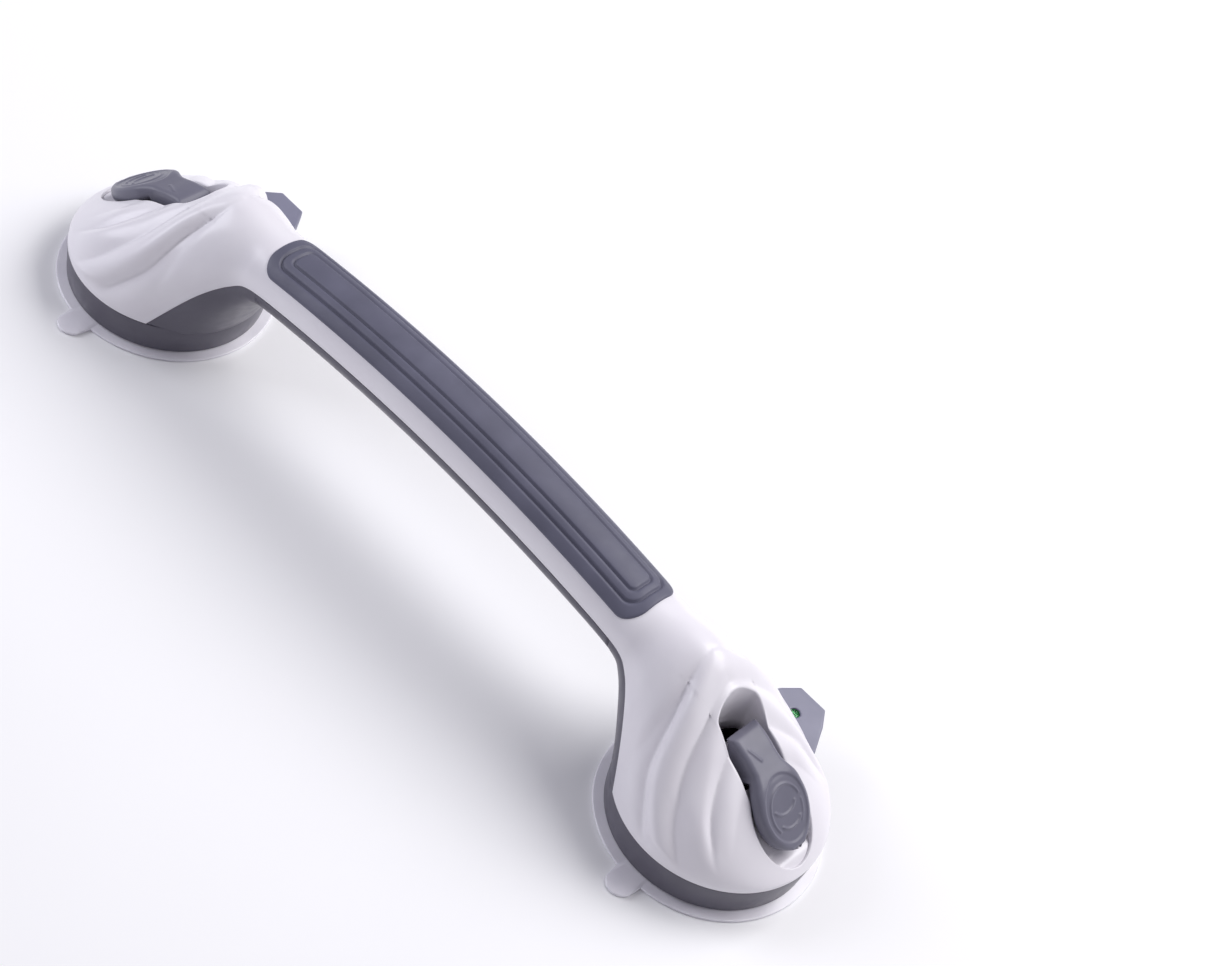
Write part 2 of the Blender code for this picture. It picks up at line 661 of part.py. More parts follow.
def joined(name, tools):
    """One object out of several separate closed ones."""
    bm = bmesh.new()
    for tool in tools:
        tool.data.transform(Matrix.Translation(tool.location))
        bm.from_mesh(tool.data)
        bpy.data.objects.remove(tool, do_unlink=True)
    mesh = bpy.data.meshes.new(name)
    bm.to_mesh(mesh)
    bm.free()
    obj = bpy.data.objects.new(name, mesh)
    bpy.context.collection.objects.link(obj)
    return obj


def add_screw_posts(cover, places):
    """Posts that hang from the cover's ceiling down to the screws at places."""
    def below_skin(x, y):
        return cover_height(x, y) - 1.2

    posts, bores = [], []
    for x, y, z in places:
        outline = [(x + 3.7 * math.cos(a), y + 3.7 * math.sin(a))
                   for a in spread(0.2, 0.2 + 2 * math.pi, 13)[:-1]]
        posts.append(prism("post", outline, z + 3.3, below_skin))
        bore = [(1.75, z - 5), (1.75, z + 15.0), (0, z + 15.0), (0, z - 5)]
        bores.append(turned("bore", bore, None, (x, y, 0), segments=10, start=0.3))
    cut(cover, joined("posts", posts), "UNION")
    cut(cover, joined("bores", bores))


def add_screw_holes(shell, places):
    """Holes through the deck over each place."""
    holes = []
    for x, y, z in places:
        hole = [(1.75, z - 5), (1.75, z + 4), (0, z + 4), (0, z - 5)]
        holes.append(turned("hole", hole, None, (x, y, 0), segments=10, start=0.3))
    cut(shell, joined("holes", holes))


def tab_screw_places(side):
    centre = side * (HEAD_X + TAB_OUT)
    return [(centre + offset, 30.2, TAB_TOP_Z + FIT_GAP) for offset in (-8.2, 8.2)]


def hang(child, parent):
    """Parents child to parent where both already are."""
    bpy.context.view_layer.update()
    child.parent = parent
    child.matrix_parent_inverse = parent.matrix_world.inverted()


def make_handle():
    cover = make_top_cover()
    shell = make_lower_shell()
    cut(shell, strip_body("strip_seat", FIT_GAP, FIT_GAP))
    shell_holes, cover_posts = [], []
    for side in (-1, 1):
        cover_posts += head_screw_places(side)
        shell_holes += head_screw_places(side)
        shell_holes += [(x, y, 12.0) for x, y, z in guide_screw_places(side) + tab_screw_places(side)]
    add_screw_posts(cover, cover_posts)
    add_screw_holes(shell, shell_holes)
    make_grip_pad()
    strip_body("grip_strip", 0.0, 0.0, RUBBER)


def make_head(side, label):
    make_cup(side, f"suction_cup_{label}")
    stud = make_pull_stud(side, f"pull_stud_{label}")
    pin = make_cam_pin(side, f"cam_pin_{label}")
    lever = make_lever(side, f"lever_{label}")
    make_return_spring(side, f"return_spring_{label}")
    make_stud_guide(side, f"stud_guide_{label}")
    make_cam_washer(side, f"cam_washer_{label}")
    make_indicator_tab(side, f"indicator_tab_{label}")
    make_indicator_slider(side, f"indicator_slider_{label}")
    make_indicator_lens(side, f"indicator_lens_{label}")
    for number, place in enumerate(head_screw_places(side), 1):
        make_screw(f"cover_screw_{label}_{number}", place, 1, 1.4, 12.0, 2.8, 1.5)
    for number, (x, y, z) in enumerate(guide_screw_places(side), 1):
        make_screw(f"guide_screw_{label}_{number}", (x, y, 17.2), -1, 1.4, 5.5, 2.6, 1.4)
    for number, place in enumerate(tab_screw_places(side), 1):
        make_screw(f"tab_screw_{label}_{number}", place, -1, 1.4, 11.5, 2.6, 1.4)
    hang(pin, stud)
    hang(lever, stud)


clear_scene()
make_handle()
for head_side, head_label in ((-1, "far"), (1, "near")):
    make_head(head_side, head_label)
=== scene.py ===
import math

import bmesh
import bpy
import numpy as np
from mathutils import Matrix, Vector


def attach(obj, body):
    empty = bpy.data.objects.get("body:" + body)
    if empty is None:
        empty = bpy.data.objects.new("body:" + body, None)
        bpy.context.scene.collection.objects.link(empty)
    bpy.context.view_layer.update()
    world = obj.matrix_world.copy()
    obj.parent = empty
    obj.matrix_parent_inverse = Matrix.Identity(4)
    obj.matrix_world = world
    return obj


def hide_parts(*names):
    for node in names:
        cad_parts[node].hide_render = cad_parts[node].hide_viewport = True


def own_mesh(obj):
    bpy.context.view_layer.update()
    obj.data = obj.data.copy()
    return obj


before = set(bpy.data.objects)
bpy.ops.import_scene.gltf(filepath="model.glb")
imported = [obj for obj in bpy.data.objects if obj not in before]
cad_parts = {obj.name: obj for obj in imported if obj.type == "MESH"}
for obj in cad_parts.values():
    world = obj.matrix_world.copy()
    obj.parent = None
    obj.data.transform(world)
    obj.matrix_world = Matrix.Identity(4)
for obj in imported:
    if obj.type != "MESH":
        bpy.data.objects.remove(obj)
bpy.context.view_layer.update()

# Lengths below are in millimetres; MM turns them into metres. "out" is a head's own x, counted
# outward from its suction cup's centre, so it is negative towards the middle of the handle.
MM = 0.001
SIDES = ((-1, "far"), (1, "near"))
HEAD_X = 163.5                          # a suction cup's centre from the handle's middle
RING_R = 43.6                           # the cover's radius round a cup
CORNER_OUT, NECK_OUT = -25.6, -70.0     # where ring meets neck, and neck meets handle
HALF_WIDTH = 16.8                       # of the handle
HANDLE_TOP, HANDLE_RADIUS = 80.2, 727.0
HANDLE_DEPTH = 15.3                     # the white cover's, on the handle
COVER_EDGE, SKIRT = 16.3, 1.2           # the cover's lower edge, and the upright band above it
COVER_WALL, SHELL_WALL = 1.6, 1.8
SEAM, UNDER_DEPTH = 0.35, 13.05         # gap under the cover's edge, and the grey shell's depth
SLOPE = math.radians(43.0)              # of the thumb pads
PAD_OUT, PAD_HIGH = 25.2, 38.6          # a thumb pad's centre
PAD_LONG, PAD_WIDE = 16.8, 13.2         # its half length and half width
WELL_OUT, WELL_FOOT = 10.6, 37.6        # the lever's well is open below as far as here


# ---------------------------------------------------------------- curves and meshes

def smooth_curve(points):
    """A function that passes smoothly through (x, value) points without overshooting them."""
    xs, vs = np.array(points, float).T
    steps = np.diff(xs)
    rates = np.diff(vs) / steps
    a, b = rates[:-1], rates[1:]
    total = np.where(a * b > 0, a + b, 1.0)
    slopes = np.concatenate([rates[:1], np.where(a * b > 0, 2 * a * b / total, 0.0), rates[-1:]])

    def at(x):
        x = np.clip(x, xs[0], xs[-1])
        i = np.clip(np.searchsorted(xs, x, side="right") - 1, 0, len(steps) - 1)
        h = steps[i]
        t = (x - xs[i]) / h
        return (vs[i] * (1 + 2 * t) * (1 - t) ** 2 + h * slopes[i] * t * (1 - t) ** 2
                + vs[i + 1] * t * t * (3 - 2 * t) + h * slopes[i + 1] * t * t * (t - 1))

    return at


def ease(value, low, high):
    """0 below low, 1 above high, and smooth between them."""
    t = np.clip((np.asarray(value, float) - low) / (high - low), 0.0, 1.0)
    return t * t * (3 - 2 * t)


def grid_faces(rows, columns, start=0, closed=False):
    """Quads of a grid of points, numbered row by row from start."""
    faces = []
    for j in range(rows - 1):
        for i in range(columns if closed else columns - 1):
            k = (i + 1) % columns
            faces.append((start + j * columns + i, start + j * columns + k,
                          start + (j + 1) * columns + k, start + (j + 1) * columns + i))
    return faces


class Shape:
    """Collects grids of points, then makes them one mesh."""

    def __init__(self):
        self.points, self.faces, self.count = [], [], 0

    def grid(self, rows, closed=False, keep=None):
        rows = np.asarray(rows, float)
        faces = grid_faces(rows.shape[0], rows.shape[1], self.count, closed)
        if keep is not None:
            faces = [f for f in faces if keep(f[0] - self.count)]
        self.faces += faces
        self.points.append(rows.reshape(-1, 3))
        self.count += rows.shape[0] * rows.shape[1]

    def fan(self, ring):
        """Closes a ring of points with one face."""
        ring = np.asarray(ring, float)
        self.faces.append(tuple(range(self.count, self.count + len(ring))))
        self.points.append(ring)
        self.count += len(ring)

    def piece(self, name, look, body, replaced, weld=0.004, sharp=40.0, outward=None):
        """One object of all the grids. outward is (axis, sign): the face farthest that way faces
        that way. Without it, the shape is closed and its volume decides."""
        mesh = bpy.data.meshes.new(name)
        mesh.from_pydata((np.concatenate(self.points) * MM).tolist(), [], self.faces)
        bm = bmesh.new()
        bm.from_mesh(mesh)
        bmesh.ops.remove_doubles(bm, verts=bm.verts, dist=weld * MM)
        bmesh.ops.dissolve_degenerate(bm, edges=bm.edges, dist=1e-7)
        bmesh.ops.recalc_face_normals(bm, faces=bm.faces)
        if outward is not None:
            axis, sign = outward
            face = max(bm.faces, key=lambda f: sign * f.calc_center_median()[axis])
            if face.normal[axis] * sign < 0:
                bmesh.ops.reverse_faces(bm, faces=bm.faces)
        elif bm.calc_volume(signed=True) < 0:
            bmesh.ops.reverse_faces(bm, faces=bm.faces)
        bm.to_mesh(mesh)
        bm.free()
        mesh.shade_smooth()
        mesh.set_sharp_from_angle(angle=math.radians(sharp))
        mesh.materials.append(look)
        obj = bpy.data.objects.new(name, mesh)
        bpy.context.collection.objects.link(obj)
        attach(obj, body)
        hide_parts(*replaced)
        return obj


def thicken(obj, depth):
    """Gives an open skin a thickness, inward."""
    modifier = obj.modifiers.new("wall", "SOLIDIFY")
    modifier.thickness = depth * MM
    modifier.offset = -1.0
    modifier.use_even_offset = False


# ---------------------------------------------------------------- materials

def node(tree, kind, **inputs):
    """A new node with these inputs set; an underscore stands for a space."""
    made = tree.nodes.new(kind)
    for key, value in inputs.items():
        made.inputs[key.replace("_", " ")].default_value = value
    return made


def plastic(name, dark, light, roughness, spread=0.05, cloud=55.0, grain=1400.0, bump=0.05,
            coat=0.0, coat_roughness=0.1, specular=0.5, transmission=0.0, scatter=0.0, ior=1.5):
    """Moulded plastic or rubber: clouded colour, uneven gloss and a fine grain."""
    mat = bpy.data.materials.new(name)
    mat.use_nodes = True
    tree = mat.node_tree
    shader = tree.nodes["Principled BSDF"]
    place = tree.nodes.new("ShaderNodeTexCoord")
    clouds = node(tree, "ShaderNodeTexNoise", Scale=cloud, Detail=3.0)
    tree.links.new(place.outputs["Object"], clouds.inputs["Vector"])
    tint = tree.nodes.new("ShaderNodeValToRGB")
    tint.color_ramp.elements[0].position = 0.35
    tint.color_ramp.elements[1].position = 0.65
    tint.color_ramp.elements[0].color = (*dark, 1.0)
    tint.color_ramp.elements[1].color = (*light, 1.0)
    tree.links.new(clouds.outputs["Fac"], tint.inputs["Fac"])
    tree.links.new(tint.outputs["Color"], shader.inputs["Base Color"])
    smears = node(tree, "ShaderNodeTexNoise", Scale=cloud * 4.1, Detail=4.0)
    tree.links.new(place.outputs["Object"], smears.inputs["Vector"])
    gloss = node(tree, "ShaderNodeMapRange", From_Min=0.3, From_Max=0.7)
    gloss.inputs["To Min"].default_value = max(roughness - spread, 0.02)
    gloss.inputs["To Max"].default_value = roughness + spread
    tree.links.new(smears.outputs["Fac"], gloss.inputs["Value"])
    tree.links.new(gloss.outputs["Result"], shader.inputs["Roughness"])
    fine = node(tree, "ShaderNodeTexNoise", Scale=grain, Detail=2.0)
    tree.links.new(place.outputs["Object"], fine.inputs["Vector"])
    relief = node(tree, "ShaderNodeBump", Strength=bump, Distance=0.0001)
    tree.links.new(fine.outputs["Fac"], relief.inputs["Height"])
    tree.links.new(relief.outputs["Normal"], shader.inputs["Normal"])
    shader.inputs["Specular IOR Level"].default_value = specular
    shader.inputs["IOR"].default_value = ior
    shader.inputs["Coat Weight"].default_value = coat
    shader.inputs["Coat Roughness"].default_value = coat_roughness
    shader.inputs["Transmission Weight"].default_value = transmission
    if scatter:
        shader.inputs["Subsurface Weight"].default_value = scatter
        shader.inputs["Subsurface Radius"].default_value = (0.004, 0.004, 0.004)
        shader.inputs["Subsurface Scale"].default_value = 0.5
    return mat


def metal(name, dark, light, roughness, scale):
    """Bright steel with an uneven gloss."""
    mat = plastic(name, dark, light, roughness, 0.07, cloud=scale, grain=2600.0, bump=0.12)
    mat.node_tree.nodes["Principled BSDF"].inputs["Metallic"].default_value = 1.0
    return mat


def flag_material():
    """The slider is green where the window sits at rest, and red further in."""
    mat = plastic("flag_paint", (0.02, 0.30, 0.06), (0.03, 0.36, 0.08), 0.4)
    tree = mat.node_tree
    shader = tree.nodes["Principled BSDF"]
    green = shader.inputs["Base Color"].links[0].from_socket
    place = tree.nodes.new("ShaderNodeTexCoord")
    split = tree.nodes.new("ShaderNodeSeparateXYZ")
    tree.links.new(place.outputs["Object"], split.inputs["Vector"])
    edge = node(tree, "ShaderNodeMapRange", From_Min=0.0456, From_Max=0.0458)
    tree.links.new(split.outputs["Y"], edge.inputs["Value"])
    mix = tree.nodes.new("ShaderNodeMix")
    mix.data_type = "RGBA"
    mix.inputs[6].default_value = (0.55, 0.02, 0.02, 1.0)
    tree.links.new(edge.outputs["Result"], mix.inputs[0])
    tree.links.new(green, mix.inputs[7])
    tree.links.new(mix.outputs[2], shader.inputs["Base Color"])
    return mat


WHITE = plastic("gloss_white_abs", (0.80, 0.775, 0.82), (0.82, 0.80, 0.84), 0.32, 0.03,
                bump=0.0, coat=0.10, coat_roughness=0.16)
GREY = plastic("dark_grey_abs", (0.098, 0.092, 0.120), (0.112, 0.106, 0.136), 0.36, 0.05, bump=0.10)
LEVER = plastic("mid_grey_abs", (0.150, 0.148, 0.190), (0.168, 0.166, 0.212), 0.38, 0.03, bump=0.02,
                coat=0.05, coat_roughness=0.18, specular=0.32)
RUBBER = plastic("soft_rubber", (0.105, 0.105, 0.148), (0.125, 0.125, 0.175), 0.50, 0.06, grain=2200.0,
                 bump=0.22, specular=0.4)
LILAC = plastic("lilac_abs", (0.20, 0.20, 0.27), (0.22, 0.22, 0.295), 0.35, 0.05, bump=0.06)
VINYL = plastic("milky_vinyl", (0.80, 0.78, 0.84), (0.86, 0.84, 0.90), 0.20, 0.04, bump=0.03,
                scatter=0.4)
CLEAR = plastic("clear_window", (0.93, 0.96, 0.94), (0.97, 0.99, 0.98), 0.06, 0.02, bump=0.0,
                transmission=1.0, specular=0.15, ior=1.12)
STEEL = metal("bright_steel", (0.55, 0.55, 0.57), (0.68, 0.68, 0.70), 0.28, 160.0)
WIRE = metal("spring_steel", (0.42, 0.42, 0.44), (0.55, 0.55, 0.56), 0.34, 240.0)
FLAG = flag_material()


# ---------------------------------------------------------------- outer form

def handle_top(x):
    return HANDLE_TOP - x * x / (2 * HANDLE_RADIUS)


NECK_TOP = handle_top(HEAD_X + NECK_OUT)
HEAD_CREST = smooth_curve([
    (-70, NECK_TOP), (-60, 73.2), (-50, 73.4), (-40, 74.6), (-31, 75.4), (-23.5, 71.8),
    (-15, 65.8), (-7.3, 59.2), (0, 52.6), (9.2, 46.4), (15, 42.3), (25, 34.4), (35, 25.2),
    (40, 20.4), (RING_R, COVER_EDGE + SKIRT)])
NECK_WIDTH = smooth_curve([
    (-70, HALF_WIDTH), (-60, 16.9), (-53.2, 17.4), (-49.2, 18.6), (-44.7, 21.1), (-40.5, 24.0),
    (-36.1, 27.1), (-30.6, 31.2), (CORNER_OUT, 35.29)])
ARCH_EDGE = smooth_curve([
    (-70, NECK_TOP - HANDLE_DEPTH), (-60, 57.2), (-55, 55.6), (-49.2, 51), (-44.7, 46.5), (-40.5, 41.3),
    (-36.1, 34.7), (-30.6, 25.3), (CORNER_OUT, COVER_EDGE)])
ARCH_FALL = smooth_curve([(0, 0), (0.2, 0.068), (0.31, 0.155), (0.45, 0.27), (0.57, 0.40),
                          (0.7, 0.565), (1, 1)])
ARCH_FLARE = smooth_curve([(0, 0), (0.2, 0.016), (0.31, 0.075), (0.45, 0.235), (0.57, 0.39),
                           (0.7, 0.545), (0.86, 0.74), (1, 1)])


def crest(out):
    return np.where(out < NECK_OUT, handle_top(HEAD_X + out), HEAD_CREST(out))


def half_width(out):
    ring = np.sqrt(np.maximum(RING_R ** 2 - out * out, 0.0))
    return np.where(out < NECK_OUT, HALF_WIDTH, np.where(out < CORNER_OUT, NECK_WIDTH(out), ring))


def cover_edge(out):
    return np.where(out < NECK_OUT, handle_top(HEAD_X + out) - HANDLE_DEPTH,
                    np.where(out < CORNER_OUT, ARCH_EDGE(out), COVER_EDGE))


def crown(out, across):
    """Height share of a cover section at across, from -1 to 1 of its half width."""
    power = 2 - 0.32 * ease(out, -60, -30)
    soft = 0.15
    rise = (across ** 2 + soft ** 2) ** (power / 2) - soft ** power
    full = (1 + soft ** 2) ** (power / 2) - soft ** power
    return np.sqrt(np.clip(1 - rise / full, 0.0, 1.0))


def cover_z(out, y):
    """Height of the cover's plain form, without its folds."""
    spring = cover_edge(out) + SKIRT
    across = np.clip(np.abs(y) / np.maximum(half_width(out), 0.05), 0.0, 1.0)
    return spring + (crest(out) - spring) * crown(out, across)


def cover_normal(out, y, step=0.1):
    fall_x = (cover_z(out + step, y) - cover_z(out - step, y)) / (2 * step)
    fall_y = (cover_z(out, y + step) - cover_z(out, y - step)) / (2 * step)
    normal = np.stack([-np.clip(fall_x, -9, 9), -np.clip(fall_y, -9, 9), np.ones_like(fall_x)], axis=-1)
    return normal / np.linalg.norm(normal, axis=-1, keepdims=True)


def grip_seat(out, y):
    """How far the cover is let in under the rubber grip."""
    return 1.4 * (1 - ease(np.abs(y), 11.4, 12.8)) * (1 - ease(out, -62.5, -60.0))


# Folds that fan round the lever. Each has a curve of its place (out) against the angle round the
# section in degrees from the crest, its height, and the angles between which it fades out.
RIBS = [
    (smooth_curve([(0, -30.6), (8, -29.5), (13, -29), (20, -27.7), (28, -25.9), (35, -24.1), (42, -22.5),
                   (50, -20.9), (57, -19.4), (62, -17.5), (67, -14.8), (72, -11.7), (77, -9),
                   (82, -6.5), (90, -3)]), -2.2, (91, 92)),
    (smooth_curve([(0, -24.5), (9, -23.8), (16, -22.4), (23, -20.6), (29, -19), (36, -17.2),
                   (42, -15.8), (48, -14.1), (54, -11.7), (61, -7.7), (66, -4), (72, 0),
                   (90, 10)]), 2.0, (76, 92)),
    (smooth_curve([(0, -18.5), (8, -17), (14, -15.5), (19, -13.8), (24, -12), (31, -10.2), (38, -8),
                   (45, -5), (52, -1.2), (56, 0.5), (65, 5), (75, 10), (90, 16)]), -0.8, (66, 88)),
    (smooth_curve([(0, -13.5), (15, -10.1), (19, -7.4), (26, -3.9), (32, -0.4), (39, 3.8),
                   (44, 6.8), (56, 14), (90, 26)]), 1.5, (46, 74)),
    (smooth_curve([(0, -7), (15, -1), (23, 2.2), (31, 5.7), (39, 9.7), (56, 20), (90, 32)]),
     -0.7, (42, 70)),
    (smooth_curve([(0, 0), (14, 5.2), (22, 8.7), (40, 16), (90, 36)]), 1.1, (26, 54)),
    (smooth_curve([(0, 7), (14, 11), (22, 14), (40, 22), (90, 40)]), 0.0, (22, 42)),
]


def rib_height(out, y):
    """How far the cover's folds stand off the plain form."""
    share = np.clip(y / np.maximum(half_width(out), 0.05), -1.0, 1.0)
    turn = np.degrees(np.arcsin(np.abs(share)))
    places = [place(turn) for place, _, _ in RIBS]
    heights = [high * (1 - ease(turn, *fade)) for _, high, fade in RIBS]
    total = heights[0] * np.clip((out - places[0] + 14) / 14, 0.0, 1.0) ** 2.2
    total = np.where(out < places[0], total, 0.0)
    for i in range(len(RIBS) - 1):
        a, b = places[i], places[i + 1]
        t = np.clip((out - a) / np.maximum(b - a, 0.5), 0.0, 1.0)
        if RIBS[i + 1][1] > RIBS[i][1]:
            level = heights[i] + (heights[i + 1] - heights[i]) * np.sin(t * math.pi / 2)
        else:
            level = heights[i + 1] + (heights[i] - heights[i + 1]) * np.cos(t * math.pi / 2)
        total = np.where((out >= a) & (out < b), level, total)
    total = total * (0.35 + 0.65 * ease(turn, 6, 30)) * (1 - ease(turn, 76, 90)) * ease(41 - out, 0, 8)
    beside_tab = ease(turn, 30, 58) * (1 - ease(turn, 76, 90)) * ease(out, -26, -12) * (1 - ease(out, 10, 26))
    return total - 1.9 * beside_tab * (y > 0)


# ---------------------------------------------------------------- white cover

SLOT_LIP = 1.0
NECK_COUNT, ARCH_COUNT, RING_COUNT, ROWS = 22, 46, 92, 84


def along_path(path, shares):
    lengths = np.concatenate([[0], np.cumsum(np.linalg.norm(np.diff(path, axis=0), axis=1))])
    want = np.asarray(shares) * lengths[-1]
    return np.stack([np.interp(want, lengths, path[:, k]) for k in range(2)], axis=1)


def slot_half(grow):
    """Upper half of the lever's opening, as (out, y), from its inner apex to the nose."""
    radius, bend = 11.3 + grow, 16.4 + grow
    corner = math.asin(radius / bend)
    arc = [(1.1 - bend * math.cos(a), bend * math.sin(a)) for a in np.linspace(0, corner, 30)]
    long, wide = 15.4 + grow, 13.9 + grow
    turn = math.acos(radius / wide)
    oval = [(24.9 + long * math.sin(a), wide * math.cos(a)) for a in np.linspace(-turn, math.pi / 2, 80)]
    line = [(float(o), radius) for o in np.linspace(arc[-1][0], oval[0][0], 40)[1:-1]]
    path = along_path(np.array(arc + line + oval), np.linspace(0, 1, 220))
    for _ in range(14):
        path[1:-1] = (path[:-2] + 2 * path[1:-1] + path[2:]) / 4
    return path


def slot_points(grow):
    """The opening at the grid's own stations, closed, from the apex round over +y."""
    shares = np.concatenate([np.linspace(0, 0.19, NECK_COUNT + 1)[:-1],
                             np.linspace(0.19, 0.33, ARCH_COUNT + 1)[:-1],
                             np.linspace(0.33, 1.0, RING_COUNT + 1)])
    half = along_path(slot_half(grow), shares)
    return np.concatenate([half, half[-2:0:-1] * (1, -1)])


def rim_points():
    """The head's outer edge at the same stations."""
    neck = [(NECK_OUT, HALF_WIDTH * math.sin(a)) for a in np.linspace(0, math.pi / 2, NECK_COUNT + 1)[:-1]]
    outs = np.linspace(NECK_OUT, CORNER_OUT, ARCH_COUNT + 1)[:-1]
    arch = list(zip(outs, half_width(outs)))
    corner = math.acos(CORNER_OUT / RING_R)
    ring = [(RING_R * math.cos(a), RING_R * math.sin(a)) for a in np.linspace(corner, 0, RING_COUNT + 1)]
    half = np.array(neck + arch + ring)
    return np.concatenate([half, half[-2:0:-1] * (1, -1)])


def placed(side, points):
    """Points given as (out, y, z) of a head, in the shared frame."""
    out, y, z = np.moveaxis(points, -1, 0)
    return np.stack([side * (HEAD_X + out), y, z], axis=-1)


def from_apex(count):
    """Each station's number counted from the opening's apex, the shorter way round."""
    return np.minimum(np.arange(count), count - np.arange(count))


def bowl_floor(out):
    """Under the pad the floor slopes with it; past the pad's tip it follows the cover down."""
    sloping = PAD_HIGH - (out - PAD_OUT) * math.tan(SLOPE) - 8.7 / math.cos(SLOPE)
    rising = 19.6 + 0.4 * (out - 32.4)
    level = 0.5 * (sloping + rising + np.sqrt((sloping - rising) ** 2 + 9.0))
    under = HEAD_CREST(out) - 1.4
    return 0.5 * (level + under - np.sqrt((level - under) ** 2 + 4.0))


def head_skin(inner):
    """Rows of the head's outer surface, from the opening to the edge, and the plain edge itself."""
    sine = ease(from_apex(len(inner)), 0, NECK_COUNT + 4)
    t = np.linspace(0, 1, ROWS)[:, None]
    share = (1 - sine) * t + sine * np.sin(t * math.pi / 2)
    flat = inner[None] + (rim_points() - inner)[None] * share[..., None]
    out, y = flat[..., 0], flat[..., 1]
    base = np.stack([out, y, cover_z(out, y)], axis=-1)
    skin = base + cover_normal(out, y) * rib_height(out, y)[..., None]
    skin[..., 2] -= grip_seat(out, y)
    return skin, flat[-1]


def opening_rows(start, inner):
    """Rows of the opening's rounded lip and of its wall, and the heights of the wall's foot."""
    wall = slot_points(0.0)
    foot = np.where(wall[:, 0] < WELL_OUT, WELL_FOOT, bowl_floor(wall[:, 0]))
    fall = np.clip((start[:, 2] - foot) * 0.8, 0.15, SLOT_LIP)
    rows = [start]
    for a in np.linspace(0, math.pi / 2, 6)[1:]:
        ring = slot_points(SLOT_LIP * (1 - math.sin(a)))
        ring = ring + (start[:, :2] - inner) * math.cos(a)
        rows.append(np.column_stack([ring, start[:, 2] - fall * (1 - math.cos(a))]))
    brink = rows[-1][:, 2]
    foot = np.minimum(foot, brink - 0.02)
    for share in (0.25, 0.5, 0.75, 1.0):
        rows.append(np.column_stack([wall, brink + (foot - brink) * share]))
    return np.array(rows), foot


def bowl_rows(wall, foot, across=17):
    """Rows of the bowl's floor from the well to the nose, with an upright edge at the well."""
    half = NECK_COUNT + ARCH_COUNT + RING_COUNT
    first = next(i for i in range(half) if wall[i, 0] >= WELL_OUT)
    rows = []
    for i in range(first, half + 1):
        y = np.linspace(wall[i, 1], -wall[i, 1], across)
        rows.append(np.column_stack([np.full(across, wall[i, 0]), y, np.full(across, foot[i])]))
    drop = rows[0].copy()
    drop[:, 2] = WELL_FOOT
    return np.array([drop] + rows)


def skirt_rows(edge, rim):
    """The upright band under the skin's edge, and a flange turned in below it."""
    lower = edge.copy()
    lower[:, 2] = cover_edge(rim[:, 0])
    flange = lower.copy()
    on_ring = rim[:, 0] > CORNER_OUT
    flange[:, 0] -= COVER_WALL * np.where(on_ring, rim[:, 0] / RING_R, 0.0)
    flange[:, 1] -= COVER_WALL * np.where(on_ring, rim[:, 1] / RING_R, np.sign(rim[:, 1]))
    return np.array([edge, lower, flange])


def head_cover(shape, side):
    inner = slot_points(SLOT_LIP)
    count = len(inner)
    skin, rim = head_skin(inner)
    shape.grid(placed(side, skin), closed=True)
    opening, foot = opening_rows(skin[0], inner)
    shape.grid(placed(side, opening), closed=True)
    shape.grid(placed(side, bowl_rows(opening[-1], foot)))
    # No skirt along the line where the handle carries on.
    edged = from_apex(count) >= NECK_COUNT
    shape.grid(placed(side, skirt_rows(skin[-1], rim)), closed=True,
               keep=lambda f: edged[f % count] and edged[(f + 1) % count])


def handle_cover(shape):
    turns = np.linspace(-math.pi / 2, math.pi / 2, 2 * NECK_COUNT + 1)
    rows = []
    for x in np.linspace(-HEAD_X - NECK_OUT, HEAD_X + NECK_OUT, 44):
        out = np.full(len(turns), abs(x) - HEAD_X)
        y = HALF_WIDTH * np.sin(turns)
        z = cover_z(out, y) - grip_seat(out, y)
        foot = cover_edge(out[0])
        section = np.column_stack([np.full(len(turns), x), y, z])
        ends = [(x, -HALF_WIDTH + COVER_WALL, foot), (x, -HALF_WIDTH, foot)]
        tail = [(x, HALF_WIDTH, foot), (x, HALF_WIDTH - COVER_WALL, foot)]
        rows.append(np.concatenate([ends, section, tail]))
    shape.grid(rows)


def make_cover():
    shape = Shape()
    for side, _ in SIDES:
        head_cover(shape, side)
    handle_cover(shape)
    cover = shape.piece("white_cover", WHITE, "grab_bar", ("top_cover",),
                        weld=0.02, sharp=50.0, outward=(2, 1))
    thicken(cover, COVER_WALL)


# ---------------------------------------------------------------- grey lower shell

RECESS_HALF, RECESS_END, RECESS_DEPTH = 10.85, 92.5, 1.9     # the finger strip's recess
COLUMN_X = HEAD_X - 62.0                                     # where a column leaves the handle
COLUMN_R, COLUMN_FOOT = 43.25, 13.0                          # its outer radius and its foot's height


def under_rows(x, turns):
    """The handle's lower section at x."""
    out = abs(x) - HEAD_X
    edge, wide = float(cover_edge(out)) - SEAM, float(half_width(out))
    return np.column_stack([np.full(len(turns), x), -wide * np.cos(turns),
                            edge - UNDER_DEPTH * np.sin(turns)])


def tucked(row):
    """The same section with its two edges carried on up inside the cover."""
    step = np.array([(0.0, -math.copysign(1.9, row[0, 1]), 3.5)])
    return np.concatenate([row[:1] + step, row[:1] + step * (1, 1, 0), row,
                           row[-1:] + step * (1, -1, 0), row[-1:] + step * (1, -1, 1)])


